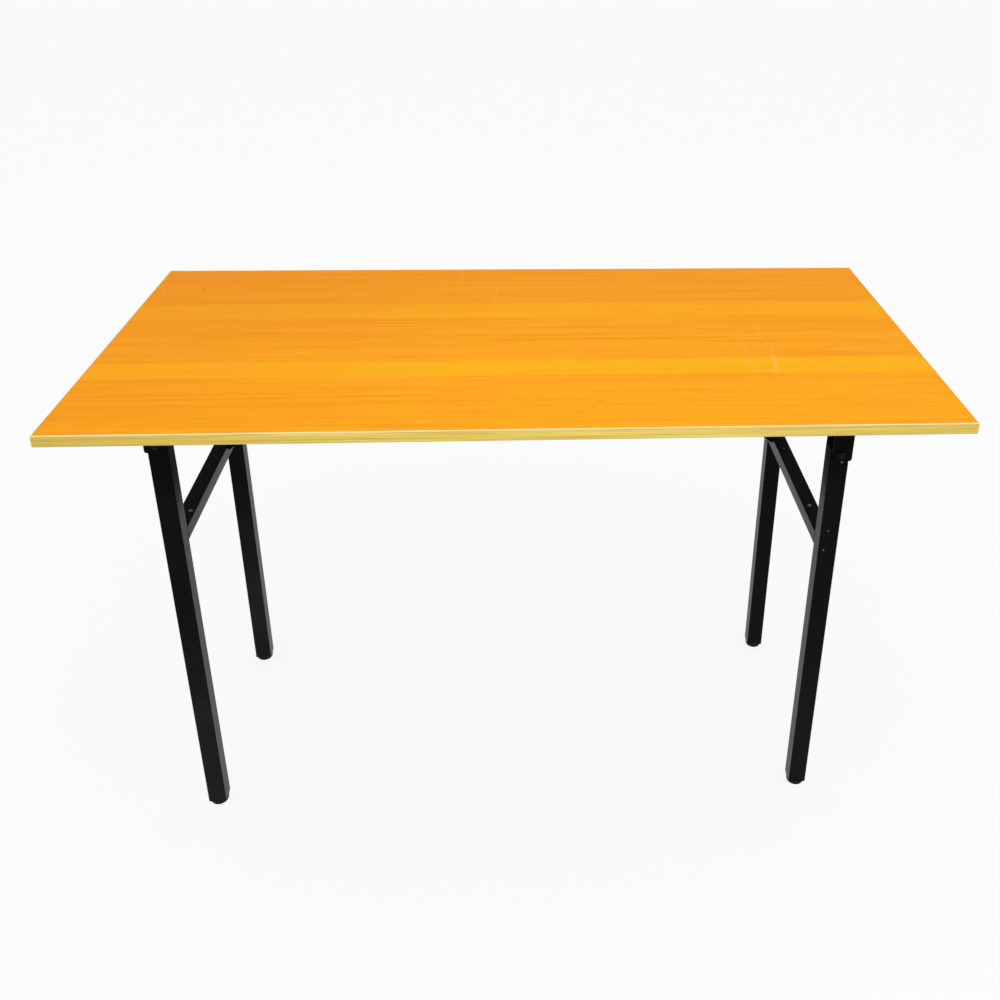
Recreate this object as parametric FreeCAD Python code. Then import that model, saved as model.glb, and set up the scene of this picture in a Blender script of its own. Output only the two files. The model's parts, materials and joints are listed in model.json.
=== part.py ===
import FreeCAD, Part
import math
import os

# Folding desk: a laminated board on two hinged leg frames.
# Millimetres, +Z up, X along the desk, front at -Y, origin on the floor under the middle of the board.

# Board
desk_height = 750.0
top_length = 1200.0
top_width = 600.0
board_thickness = 16.0
laminate_thickness = 0.8
backer_thickness = 0.5
band_thickness = 2.0
band_arris = 1.0

# Leg tube and its place under the board
tube_size = 28.0
tube_wall = 1.2
tube_corner = 2.5
leg_inset_end = 108.0
leg_inset_side = 110.0
# The frames stand a little left of the board's middle and behind it; the insets are the mean of both ends
frames_left = 16.0
frames_back = 9.5

# Crossbar of each frame, measured down from the pivot
crossbar_width = 24.0
crossbar_height = 23.0
crossbar_drop = 162.0
tongue_width = 18.5
tongue_steel = 3.0
tongue_past_screw = 15.0
# The crossbar screws were drilled by hand: how far from the legs, and in from the bar's middle
screw_setback = {"left": 41.0, "right": 71.0}
screw_inward = {"left": 6.0, "right": 2.5}

# Foot cap
foot_height = 8.0
foot_round = 3.0
foot_corner_round = 9.0
plug_length = 22.0
plug_play = 0.3

# Frame pivots: the right frame hinges one tube lower, so that it folds over the left one
left_pivot_depth = 64.0
fold_stack_gap = 2.0
fold_angle = 90.0

# Hinge bracket, a folded steel saddle round the top of each leg
bracket_steel = 3.0
bracket_play = 0.5
bracket_below_pivot = 11.0
bracket_lip = 2.0
bracket_round = 8.0
bracket_corner_round = 4.0
bracket_edge_round = 1.5
flange_depth = 24.0

# Pivot bolt, washer, nut and the sleeve welded into the leg
bolt_radius = 3.0
bolt_head_radius = 5.5
bolt_head_height = 3.4
bolt_hole_play = 0.2
bolt_tip = 2.0
sleeve_wall = 2.0
running_play = 0.08
weld_play = 0.05
washer_radius = 6.0
washer_thickness = 1.2
nut_flats = 10.0
nut_height = 5.0

# Stay between the crossbar and the guide
stay_elevation = 51.0
stay_width = 18.0
stay_thickness = 5.0
stay_setback = 22.0
lug_offset = 11.0
lug_rise = 20.0
lug_steel = 3.0
lug_radius = 9.0
lug_side_play = 0.5
lug_pin_radius = 3.0
rivet_head_radius = 5.0
rivet_head_height = 2.4

# Slotted guide plates under the board
guide_steel = 2.5
guide_side_play = 1.0
guide_flange = 17.0
guide_spacing = 4.0
guide_pin_radius = 4.0
guide_pin_head_radius = 7.0
guide_pin_head_height = 2.5
guide_pin_depth = 13.0
slot_play = 0.35
slot_margin = 8.0
lock_pocket = 4.0
clip_thickness = 1.5
clip_radius = 7.0
slide_gap = 0.3

# Screws: woodscrews for brackets and guides, self-tappers for the tongues
screw_head_radius = 4.0
screw_head_height = 2.4
screw_radius = 1.75
screw_bite = 10.0
screw_play = 0.05
tapper_head_radius = 2.8
tapper_head_height = 1.6
tapper_radius = 1.6
tapper_tip = 2.0

# Places worked out from the sizes above
underside = desk_height - board_thickness
pivot_place = top_length / 2 - leg_inset_end - tube_size / 2
leg_place_y = top_width / 2 - leg_inset_side - tube_size / 2
left_pivot_height = underside - left_pivot_depth
right_pivot_height = left_pivot_height - tube_size - fold_stack_gap
guide_pin_height = underside - guide_pin_depth
lug_reach = tube_size / 2 + lug_offset
lug_drop = crossbar_drop - lug_rise
sleeve_bore = bolt_radius + running_play
sleeve_radius = sleeve_bore + sleeve_wall
cheek_inside = tube_size / 2 + bracket_play
cheek_outside = cheek_inside + bracket_steel
slot_half = guide_pin_radius + slot_play
guide_inside = stay_thickness / 2 + guide_side_play
guide_outside = guide_inside + guide_steel
# The right stay stands close to the rear leg and the left one beside it, so that their guides pass
right_stay_place = leg_place_y - tube_size / 2 - stay_setback
left_stay_place = right_stay_place - 2 * (guide_outside + guide_flange) - guide_spacing
SIDES = {
    "left": (-1, left_pivot_height, left_stay_place),
    "right": (1, right_pivot_height, right_stay_place),
}
ROWS = {"front": -1, "rear": 1}
frames_place = FreeCAD.Vector(-frames_left, frames_back, 0)

os.makedirs("parts", exist_ok=True)


def save(node, *solids):
    """Write one node: a single solid, or a group of separate like solids."""
    shape = solids[0] if len(solids) == 1 else Part.makeCompound(list(solids))
    shape.exportStep("parts/" + node + ".step")


def save_under_board(node, *solids):
    """Write a node made about the frames' own middle, moved to its place under the board."""
    for solid in solids:
        solid.translate(frames_place)
    save(node, *solids)


def block(x_span, y_span, z_span):
    """A box between two values on each axis, given in either order."""
    low = FreeCAD.Vector(min(x_span), min(y_span), min(z_span))
    high = FreeCAD.Vector(max(x_span), max(y_span), max(z_span))
    size = high - low
    return Part.makeBox(size.x, size.y, size.z, low)


def rod(start, along, length, radius):
    """A round bar from a point along a direction."""
    return Part.makeCylinder(radius, length, FreeCAD.Vector(*start), FreeCAD.Vector(*along))


def dome(start, along, radius, height):
    """A round-topped head that stands on its flat face."""
    ball_radius = (radius ** 2 + height ** 2) / (2 * height)
    half_turn = math.asin(radius / ball_radius) / 2
    rim, crown, foot = (FreeCAD.Vector(*p) for p in ((radius, 0, 0), (0, 0, height), (0, 0, 0)))
    bulge = FreeCAD.Vector(math.sin(half_turn), 0, math.cos(half_turn)) * ball_radius
    bulge.z += height - ball_radius
    cap = Part.Arc(rim, bulge, crown).toShape()
    outline = Part.Wire([Part.makeLine(foot, rim), cap, Part.makeLine(crown, foot)])
    head = Part.Face(outline).revolve(foot, FreeCAD.Vector(0, 0, 1), 360)
    head.Placement = FreeCAD.Placement(
        FreeCAD.Vector(*start), FreeCAD.Rotation(FreeCAD.Vector(0, 0, 1), FreeCAD.Vector(*along)))
    return head


def round_edges(shape, radius, chosen):
    """Round the straight edges whose middle and direction the test accepts."""
    edges = []
    for edge in shape.Edges:
        ends = [v.Point for v in edge.Vertexes]
        if len(ends) == 2 and chosen((ends[0] + ends[1]) * 0.5, (ends[1] - ends[0]).normalize()):
            edges.append(edge)
    return shape.makeFillet(radius, edges)


def near(a, b, tolerance=0.01):
    return abs(a - b) < tolerance


def prism(width_x, width_y, corner, z_span):
    """An upright bar of rounded rectangular section, centred on the Z axis."""
    bar = block((-width_x / 2, width_x / 2), (-width_y / 2, width_y / 2), z_span)
    return round_edges(bar, corner, lambda middle, way: near(abs(way.z), 1))


def hollow(width_x, width_y, z_span):
    """A rounded rectangular tube of the desk's wall thickness, centred on the Z axis."""
    inside = prism(width_x - 2 * tube_wall, width_y - 2 * tube_wall, tube_corner - tube_wall, z_span)
    return prism(width_x, width_y, tube_corner, z_span).cut(inside)


# Board: a chipboard core between two laminates, with an edge band on each side

core_x = top_length / 2 - band_thickness
core_y = top_width / 2 - band_thickness
core_top = desk_height - laminate_thickness
core_bottom = underside + backer_thickness
board_core = block((-core_x, core_x), (-core_y, core_y), (core_bottom, core_top))
top_laminate = block((-core_x, core_x), (-core_y, core_y), (core_top, desk_height))
underside_laminate = block((-core_x, core_x), (-core_y, core_y), (underside, core_bottom))


def edge_band(x_span, y_span):
    """A strip of edging with every outer arris rounded."""
    strip = block(x_span, y_span, (underside, desk_height))

    def outer(middle, way):
        on_end = near(abs(middle.x), top_length / 2)
        on_side = near(abs(middle.y), top_width / 2)
        on_rim = near(middle.z, underside) or near(middle.z, desk_height)
        return (on_end and on_side) or (on_rim and (on_end or on_side))

    return round_edges(strip, band_arris, outer)


for row, sign in ROWS.items():
    band_y = (sign * core_y, sign * top_width / 2)
    save(row + "_edge_band", edge_band((-top_length / 2, top_length / 2), band_y))
for side, place in SIDES.items():
    band_x = (place[0] * core_x, place[0] * top_length / 2)
    save(side + "_edge_band", edge_band(band_x, (-core_y, core_y)))

# Woodscrews collect here as brackets and guides are placed, and bore their own holes in the board
bracket_screws = []
guide_screws = []


def woodscrew(x, y, seat):
    """A screw driven up into the board, its head under a steel flange at the given height."""
    head = dome((x, y, seat), (0, 0, -1), screw_head_radius, screw_head_height)
    return head.fuse(rod((x, y, seat), (0, 0, 1), underside - seat + screw_bite, screw_radius))


def screw_hole(x, y, bottom):
    return rod((x, y, bottom), (0, 0, 1), underside - bottom + screw_bite, screw_radius + screw_play)


# Leg frames: two tubes and a crossbar each, hinged in saddle brackets


def leg(x, y, pivot_height):
    """A leg tube with its top rounded about the pivot and bored for the sleeve."""
    tube = hollow(tube_size, tube_size, (foot_height, pivot_height + tube_size / 2))
    half = tube_size / 2
    stem = block((-half, half), (-half, half), (foot_height, pivot_height))
    crown = rod((0, -half, pivot_height), (0, 1, 0), tube_size, half)
    bore = rod((0, -half, pivot_height), (0, 1, 0), tube_size, sleeve_radius + weld_play)
    tube = tube.common(stem.fuse(crown)).cut(bore)
    tube.translate(FreeCAD.Vector(x, y, 0))
    return tube


def pivot_sleeve(x, y, pivot_height):
    start = (x, y - tube_size / 2, pivot_height)
    outside = rod(start, (0, 1, 0), tube_size, sleeve_radius)
    return outside.cut(rod(start, (0, 1, 0), tube_size, sleeve_bore))


def foot_cap(x, y):
    """A moulded cap with a sole rounded most at its corners, and a plug that is pushed into the tube."""
    cap = prism(tube_size, tube_size, tube_corner, (0, foot_height))
    cap = cap.makeFillet(foot_round, [e for e in cap.Edges if near(e.BoundBox.ZMax, 0)])
    bowl = rod((0, 0, 0), (0, 0, 1), foot_corner_round + 1, tube_size / 2 * math.sqrt(2) - tube_corner / 2)
    bowl = bowl.makeFillet(foot_corner_round, [e for e in bowl.Edges if near(e.BoundBox.ZMax, 0)])
    cap = cap.common(bowl)
    plug_size = tube_size - 2 * tube_wall - 2 * plug_play
    plug_span = (foot_height, foot_height + plug_length)
    cap = cap.fuse(prism(plug_size, plug_size, tube_corner - tube_wall, plug_span))
    cap.translate(FreeCAD.Vector(x, y, 0))
    return cap


def hinge_bracket(sign, y, pivot_height):
    """A steel saddle: a web outside the leg, a cheek before and behind it, and screwed flanges."""
    bottom = pivot_height - bracket_below_pivot
    x_web = sign * (pivot_place + cheek_outside)
    x_web_inside = sign * (pivot_place + cheek_inside)
    x_open = sign * (pivot_place - tube_size / 2 + bracket_lip)
    saddle = block((x_web, x_open), (y - cheek_outside, y + cheek_outside), (bottom, underside))
    saddle = round_edges(
        saddle, bracket_steel, lambda middle, way: near(abs(way.z), 1) and near(middle.x, x_web))
    mouth = block((x_web_inside, x_open), (y - cheek_inside, y + cheek_inside), (bottom, underside))
    saddle = saddle.cut(mouth)
    saddle = round_edges(
        saddle, bracket_round,
        lambda middle, way: near(abs(way.y), 1) and near(middle.x, x_open) and near(middle.z, bottom))
    corner = (x_web - sign * bracket_corner_round, y - cheek_outside, bottom + bracket_corner_round)
    spare = block((x_web, corner[0]), (y - cheek_outside, y + cheek_outside), (bottom, corner[2]))
    saddle = saddle.cut(spare.cut(rod(corner, (0, 1, 0), 2 * cheek_outside, bracket_corner_round)))
    flange_x = (x_web - sign * bracket_steel, x_open)
    seat = underside - bracket_steel
    holes = []
    for row_sign in ROWS.values():
        flange_y = (y + row_sign * cheek_outside, y + row_sign * (cheek_outside + flange_depth))
        flange = block(flange_x, flange_y, (seat, underside))
        flange = round_edges(
            flange, bracket_edge_round,
            lambda middle, way: near(abs(way.z), 1) and near(middle.y, flange_y[1]))
        saddle = saddle.fuse(flange)
        screw_y = y + row_sign * (cheek_outside + flange_depth / 2)
        for share in (1 / 4, 3 / 4):
            screw_x = flange_x[0] + share * (flange_x[1] - flange_x[0])
            bracket_screws.append(woodscrew(screw_x, screw_y, seat))
            holes.append(screw_hole(screw_x, screw_y, seat))
    bolt_hole = rod((sign * pivot_place, y - cheek_outside, pivot_height), (0, 1, 0), 2 * cheek_outside,
                    bolt_radius + bolt_hole_play)
    return saddle.removeSplitter().cut(Part.makeCompound(holes + [bolt_hole])), holes


def pivot_bolt(x, y, outward, pivot_height):
    """A round-headed bolt with its head on the outer cheek."""
    seat = (x, y + outward * cheek_outside, pivot_height)
    reach = 2 * cheek_outside + washer_thickness + nut_height + bolt_tip
    shank = rod(seat, (0, -outward, 0), reach, bolt_radius)
    return dome(seat, (0, outward, 0), bolt_head_radius, bolt_head_height).fuse(shank)


def pivot_washer(x, y, outward, pivot_height):
    start = (x, y - outward * cheek_outside, pivot_height)
    ring = rod(start, (0, -outward, 0), washer_thickness, washer_radius)
    return ring.cut(rod(start, (0, -outward, 0), washer_thickness, bolt_radius + bolt_hole_play))


def pivot_nut(x, y, outward, pivot_height):
    start = FreeCAD.Vector(x, y - outward * (cheek_outside + washer_thickness), pivot_height)
    corner_radius = nut_flats / 2 / math.cos(math.pi / 6)
    angles = [math.pi / 3 * k for k in range(7)]
    corners = [start + FreeCAD.Vector(math.cos(a), 0, math.sin(a)) * corner_radius for a in angles]
    nut = Part.Face(Part.makePolygon(corners)).extrude(FreeCAD.Vector(0, -outward * nut_height, 0))
    return nut.cut(rod(start, (0, -outward, 0), nut_height, bolt_radius + weld_play))


def crossbar(x, z, hole_x, setback):
    """A rectangular tube between the legs, flush with their inner faces, with its screw holes."""
    half = leg_place_y - tube_size / 2
    bar = hollow(crossbar_width, crossbar_height, (-half, half))
    bar.rotate(FreeCAD.Vector(0, 0, 0), FreeCAD.Vector(1, 0, 0), 90)
    bar.translate(FreeCAD.Vector(x, 0, z))
    hole_top = z + crossbar_height / 2
    places = [row_sign * (half - setback) for row_sign in ROWS.values()]
    holes = [rod((hole_x, y, hole_top), (0, 0, -1), tube_wall, tapper_radius + screw_play) for y in places]
    return bar.cut(Part.makeCompound(holes))


def tongue(x, z, hole_x, setback, row_sign):
    """A strip welded to the leg that the end of the crossbar slides over."""
    ceiling = z + crossbar_height / 2 - tube_wall
    root = row_sign * (leg_place_y - tube_size / 2)
    end = root - row_sign * (setback + tongue_past_screw)
    half_width = tongue_width / 2
    strip = block((x - half_width, x + half_width), (root, end), (ceiling, ceiling - tongue_steel))
    hole_y = root - row_sign * setback
    return strip.cut(rod((hole_x, hole_y, ceiling), (0, 0, -1), tongue_steel, tapper_radius + screw_play))


def tongue_screw(z, hole_x, setback, row_sign):
    seat = (hole_x, row_sign * (leg_place_y - tube_size / 2 - setback), z + crossbar_height / 2)
    shank = rod(seat, (0, 0, -1), tube_wall + tongue_steel + tapper_tip, tapper_radius)
    return dome(seat, (0, 0, 1), tapper_head_radius, tapper_head_height).fuse(shank)


# Stays: a bar pinned to the crossbar, whose upper pin runs in a ramped slot as the frame folds


class StayPath:
    """Where the stay's upper pin goes while the frame folds and the stay swings level in step with it."""

    def __init__(self, sign, pivot_height, stay_y):
        self.sign = sign
        self.pivot_height = pivot_height
        self.stay_y = stay_y
        rise = guide_pin_height - (pivot_height - lug_drop)
        self.length = rise / math.sin(math.radians(stay_elevation))
        self.swing_rate = stay_elevation / fold_angle

    def lug_point(self, fold):
        """Lug pin at a fold angle: distance inward from the pivot, and height."""
        turn = math.radians(fold)
        inward = lug_reach * math.cos(turn) + lug_drop * math.sin(turn)
        height = self.pivot_height + lug_reach * math.sin(turn) - lug_drop * math.cos(turn)
        return inward, height

    def pin_point(self, fold):
        """Guide pin at a fold angle."""
        inward, height = self.lug_point(fold)
        tilt = math.radians(stay_elevation - self.swing_rate * fold)
        return inward + self.length * math.cos(tilt), height + self.length * math.sin(tilt)

    def below(self, fold, distance):
        """A point square to the pin's path, on its lower side for a positive distance."""
        nudge = fold_angle / 1000
        before, after = self.pin_point(fold - nudge), self.pin_point(fold + nudge)
        run, climb = after[0] - before[0], after[1] - before[1]
        scale = distance / math.hypot(run, climb)
        inward, height = self.pin_point(fold)
        return inward + climb * scale, height - run * scale

    def place(self, point):
        """A point of the path in the desk's frame."""
        return FreeCAD.Vector(self.sign * (pivot_place - point[0]), 0, point[1])


# The pin turns back over the last part of the fold, so the slot's smooth curve ends there in a hooked seat
slot_curve_end = 0.8 * fold_angle
slot_steps = 10
seat_steps = 4


def path_curve(path, distance, reverse=False):
    """A smooth curve beside the pin's path, from the open end to the hooked seat."""
    folds = [slot_curve_end * k / slot_steps for k in range(slot_steps + 1)]
    if reverse:
        folds.reverse()
    curve = Part.BSplineCurve()
    curve.interpolate([path.place(path.below(fold, distance)) for fold in folds])
    return curve.toShape()


def span_arc(path, centre, start, end, radius, aim):
    """An arc of the given radius between two points, bulging towards the aim."""
    middle = FreeCAD.Vector(*aim)
    middle.normalize()
    return Part.Arc(start, path.place(centre) + middle * radius, end).toShape()


def seat_points(path):
    """Where the pin goes over the last part of the fold."""
    last_part = fold_angle - slot_curve_end
    return [path.pin_point(slot_curve_end + last_part * k / seat_steps) for k in range(seat_steps + 1)]


def guide_slot(path):
    """The closed slot, one solid that spans both guide plates, with the pocket that holds the pin open."""
    lower = path_curve(path, slot_half)
    upper = path_curve(path, -slot_half, reverse=True)
    inner_end = path.pin_point(slot_curve_end)
    open_end = path.pin_point(0)
    inner_arc = span_arc(path, inner_end, lower.Vertexes[-1].Point, upper.Vertexes[0].Point, slot_half,
                         (-path.sign, 0, 0))
    open_arc = span_arc(path, open_end, upper.Vertexes[-1].Point, lower.Vertexes[0].Point, slot_half,
                        (path.sign, 0, 0))
    depth = FreeCAD.Vector(0, 2 * guide_outside, 0)
    slot = Part.Face(Part.Wire([lower, inner_arc, upper, open_arc])).extrude(depth)
    slot.translate(FreeCAD.Vector(0, path.stay_y - guide_outside, 0))
    seats = [path.place(point) for point in seat_points(path)]
    seat = [capsule(path, a, b, slot_half) for a, b in zip(seats, seats[1:])]
    tilt = math.radians(stay_elevation)
    mouth = path.place(open_end)
    lift = FreeCAD.Vector(path.sign * math.sin(tilt), 0, math.cos(tilt)) * lock_pocket
    pocket = capsule(path, mouth, mouth + lift, slot_half)
    return slot.fuse(seat + [pocket]).removeSplitter()


def capsule(path, start, end, radius):
    """A straight round-ended slot between two points, deep enough for both guide plates."""
    depth = 2 * guide_outside
    way = (0, 1, 0)
    front = FreeCAD.Vector(0, path.stay_y - guide_outside, 0)
    along = end - start
    along.normalize()
    across = FreeCAD.Vector(along.z, 0, -along.x) * radius
    corners = [start + across, end + across, end - across, start - across, start + across]
    outline = Part.makePolygon([front + c for c in corners])
    middle = Part.Face(outline).extrude(FreeCAD.Vector(0, depth, 0))
    ends = [rod(tuple(front + p), way, depth, radius) for p in (start, end)]
    return middle.fuse(ends)


def guide_plate(path, row_sign, slot):
    """One slotted plate beside the stay, with its lower edge following the slot and a screwed flange."""
    edge = slot_half + slot_margin
    inner_end = max(seat_points(path))
    open_end = path.pin_point(0)
    lower = path_curve(path, edge)
    heel = path.place((inner_end[0], inner_end[1] - edge))
    inner_side = path.place((inner_end[0] + edge, inner_end[1]))
    outer_side = path.place((open_end[0] - edge, open_end[1]))
    inner_top = FreeCAD.Vector(inner_side.x, 0, underside)
    outer_top = FreeCAD.Vector(outer_side.x, 0, underside)
    corner = math.sqrt(0.5)
    inner_arc = span_arc(path, inner_end, heel, inner_side, edge, (-path.sign * corner, 0, -corner))
    outer_arc = span_arc(path, open_end, outer_side, lower.Vertexes[0].Point, edge, (path.sign, 0, -corner))
    heel_line = Part.makeLine(lower.Vertexes[-1].Point, heel)
    sides = [Part.makeLine(inner_side, inner_top), Part.makeLine(inner_top, outer_top),
             Part.makeLine(outer_top, outer_side)]
    outline = Part.Wire([lower, heel_line, inner_arc] + sides + [outer_arc])
    plate = Part.Face(outline).extrude(FreeCAD.Vector(0, row_sign * guide_steel, 0))
    plate.translate(FreeCAD.Vector(0, path.stay_y + row_sign * guide_inside, 0))
    seat = underside - guide_steel
    flange_y = [path.stay_y + row_sign * reach for reach in (guide_inside, guide_outside + guide_flange)]
    flange = block((inner_top.x, outer_top.x), flange_y, (seat, underside))
    flange = round_edges(
        flange, bracket_round, lambda middle, way: near(abs(way.z), 1) and near(middle.y, flange_y[1]))
    plate = plate.fuse(flange).removeSplitter()
    holes = []
    for share in (1 / 10, 1 / 2, 9 / 10):
        screw_x = inner_top.x + share * (outer_top.x - inner_top.x)
        screw_y = path.stay_y + row_sign * (guide_outside + guide_flange / 2)
        guide_screws.append(woodscrew(screw_x, screw_y, seat))
        holes.append(screw_hole(screw_x, screw_y, seat))
    return plate.cut(Part.makeCompound(holes + [slot])), holes


def stay_bar(path):
    """A flat bar with round ends, bored for the lug pin and the guide pin."""
    foot = path.place(path.lug_point(0))
    head = path.place(path.pin_point(0))
    along = head - foot
    along.normalize()
    across = FreeCAD.Vector(along.z, 0, -along.x) * (stay_width / 2)
    front = FreeCAD.Vector(0, path.stay_y - stay_thickness / 2, 0)
    corners = [foot + across, head + across, head - across, foot - across, foot + across]
    outline = Part.makePolygon([front + c for c in corners])
    bar = Part.Face(outline).extrude(FreeCAD.Vector(0, stay_thickness, 0))
    bar = bar.fuse([rod(tuple(front + p), (0, 1, 0), stay_thickness, stay_width / 2) for p in (foot, head)])
    lug_bore = rod(tuple(front + foot), (0, 1, 0), stay_thickness, lug_pin_radius + running_play)
    head_bore = rod(tuple(front + head), (0, 1, 0), stay_thickness, guide_pin_radius + weld_play)
    return bar.removeSplitter().cut(Part.makeCompound([lug_bore, head_bore]))


def stay_lug(path, row_sign):
    """One of the two ears that rise from the upper half of the crossbar's inner face."""
    pin = path.place(path.lug_point(0))
    face_x = path.sign * (pivot_place - tube_size / 2)
    y_span = [path.stay_y + row_sign * (stay_thickness / 2 + lug_side_play + t) for t in (0, lug_steel)]
    start = FreeCAD.Vector(pin.x, min(y_span), pin.z)
    root = FreeCAD.Vector(face_x, min(y_span), pin.z - lug_rise)
    reach = root - start
    tilt = math.acos(lug_radius / reach.Length)
    touch = reach * (lug_radius / reach.Length)
    touch = FreeCAD.Rotation(FreeCAD.Vector(0, path.sign, 0), math.degrees(tilt)).multVec(touch)
    crown = FreeCAD.Vector(0, 0, lug_radius)
    shoulder = FreeCAD.Vector(face_x, min(y_span), pin.z + lug_radius)
    corners = [root, start + touch, start, start + crown, shoulder, root]
    ear = Part.Face(Part.makePolygon(corners)).extrude(FreeCAD.Vector(0, lug_steel, 0))
    ear = ear.fuse(rod(tuple(start), (0, 1, 0), lug_steel, lug_radius)).removeSplitter()
    return ear.cut(rod(tuple(start), (0, 1, 0), lug_steel, lug_pin_radius + weld_play))


def lug_pin(path):
    """A rivet through the ears and the foot of the stay, headed at both ends."""
    pin = path.place(path.lug_point(0))
    reach = stay_thickness / 2 + lug_side_play + lug_steel
    rivet = rod((pin.x, path.stay_y - reach, pin.z), (0, 1, 0), 2 * reach, lug_pin_radius)
    heads = [dome((pin.x, path.stay_y + s * reach, pin.z), (0, s, 0), rivet_head_radius, rivet_head_height)
             for s in ROWS.values()]
    return rivet.fuse(heads)


def guide_pin(path):
    """A headed pin fixed in the stay, running in both slots."""
    pin = path.place(path.pin_point(0))
    reach = guide_outside + slide_gap
    tail = reach + clip_thickness + slide_gap
    seat = (pin.x, path.stay_y - reach, pin.z)
    shank = rod(seat, (0, 1, 0), reach + tail, guide_pin_radius)
    return shank.fuse(dome(seat, (0, -1, 0), guide_pin_head_radius, guide_pin_head_height))


def guide_pin_clip(path):
    """A round clip that keeps the pin in the plates."""
    pin = path.place(path.pin_point(0))
    start = (pin.x, path.stay_y + guide_outside + slide_gap, pin.z)
    ring = rod(start, (0, 1, 0), clip_thickness, clip_radius)
    return ring.cut(rod(start, (0, 1, 0), clip_thickness, guide_pin_radius + weld_play))


# Put the pieces together, side by side

board_holes = []
for side, (sign, pivot_height, stay_y) in SIDES.items():
    x = sign * pivot_place
    bar_x = sign * (pivot_place - (tube_size - crossbar_width) / 2)
    bar_height = pivot_height - crossbar_drop
    legs = {row: row_sign * leg_place_y for row, row_sign in ROWS.items()}
    for row, y in legs.items():
        save_under_board(side + "_" + row + "_leg", leg(x, y, pivot_height))
        bracket, holes = hinge_bracket(sign, y, pivot_height)
        board_holes += holes
        save_under_board(side + "_" + row + "_hinge_bracket", bracket)
    save_under_board(side + "_foot_caps", *[foot_cap(x, y) for y in legs.values()])
    save_under_board(side + "_pivot_sleeves", *[pivot_sleeve(x, y, pivot_height) for y in legs.values()])
    for part_name, make in (("bolts", pivot_bolt), ("washers", pivot_washer), ("nuts", pivot_nut)):
        pieces = [make(x, legs[row], row_sign, pivot_height) for row, row_sign in ROWS.items()]
        save_under_board(side + "_pivot_" + part_name, *pieces)
    hole = (bar_x - sign * screw_inward[side], screw_setback[side])
    save_under_board(side + "_crossbar", crossbar(bar_x, bar_height, *hole))
    tongues = [tongue(bar_x, bar_height, *hole, s) for s in ROWS.values()]
    save_under_board(side + "_crossbar_tongues", *tongues)
    save_under_board(side + "_crossbar_screws", *[tongue_screw(bar_height, *hole, s) for s in ROWS.values()])
    path = StayPath(sign, pivot_height, stay_y)
    slot = guide_slot(path)
    for row, row_sign in ROWS.items():
        plate, holes = guide_plate(path, row_sign, slot)
        board_holes += holes
        save_under_board(side + "_" + row + "_guide_plate", plate)
    save_under_board(side + "_stay_bar", stay_bar(path))
    save_under_board(side + "_stay_lugs", *[stay_lug(path, s) for s in ROWS.values()])
    save_under_board(side + "_lug_pin", lug_pin(path))
    save_under_board(side + "_guide_pin", guide_pin(path))
    save_under_board(side + "_guide_pin_clip", guide_pin_clip(path))

save_under_board("bracket_screws", *bracket_screws)
save_under_board("guide_screws", *guide_screws)
bores = Part.makeCompound(board_holes)
bores.translate(frames_place)
save("board_core", board_core.cut(bores))
save("underside_laminate", underside_laminate.cut(bores))
save("top_laminate", top_laminate)
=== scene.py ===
import bmesh
import bpy
import json
import math
from mathutils import Matrix, Vector


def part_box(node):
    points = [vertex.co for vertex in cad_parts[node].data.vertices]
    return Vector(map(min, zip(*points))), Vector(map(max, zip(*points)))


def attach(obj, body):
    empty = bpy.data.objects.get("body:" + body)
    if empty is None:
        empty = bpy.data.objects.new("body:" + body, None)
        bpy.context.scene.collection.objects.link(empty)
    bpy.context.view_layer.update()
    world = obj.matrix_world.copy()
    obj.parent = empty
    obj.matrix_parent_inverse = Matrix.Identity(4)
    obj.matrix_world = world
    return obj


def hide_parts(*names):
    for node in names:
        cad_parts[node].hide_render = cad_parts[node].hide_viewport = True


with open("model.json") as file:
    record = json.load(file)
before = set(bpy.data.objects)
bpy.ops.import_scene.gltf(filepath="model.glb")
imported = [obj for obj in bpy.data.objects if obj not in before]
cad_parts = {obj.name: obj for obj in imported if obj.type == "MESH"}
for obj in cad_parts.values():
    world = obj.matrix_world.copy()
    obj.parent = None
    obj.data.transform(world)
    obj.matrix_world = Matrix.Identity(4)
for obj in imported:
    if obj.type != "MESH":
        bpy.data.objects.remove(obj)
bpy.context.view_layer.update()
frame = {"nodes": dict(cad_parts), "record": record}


# Board core: wood chips pressed with glue, the body of a 16 mm board. The laminates and the edging are glued
# to it and close it in on every side, so it is seen only down its screw holes.

chips_per_metre = (220.0, 380.0, 700.0)
dark_chip = (0.36, 0.24, 0.12)
pale_chip = (0.66, 0.49, 0.28)


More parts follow.
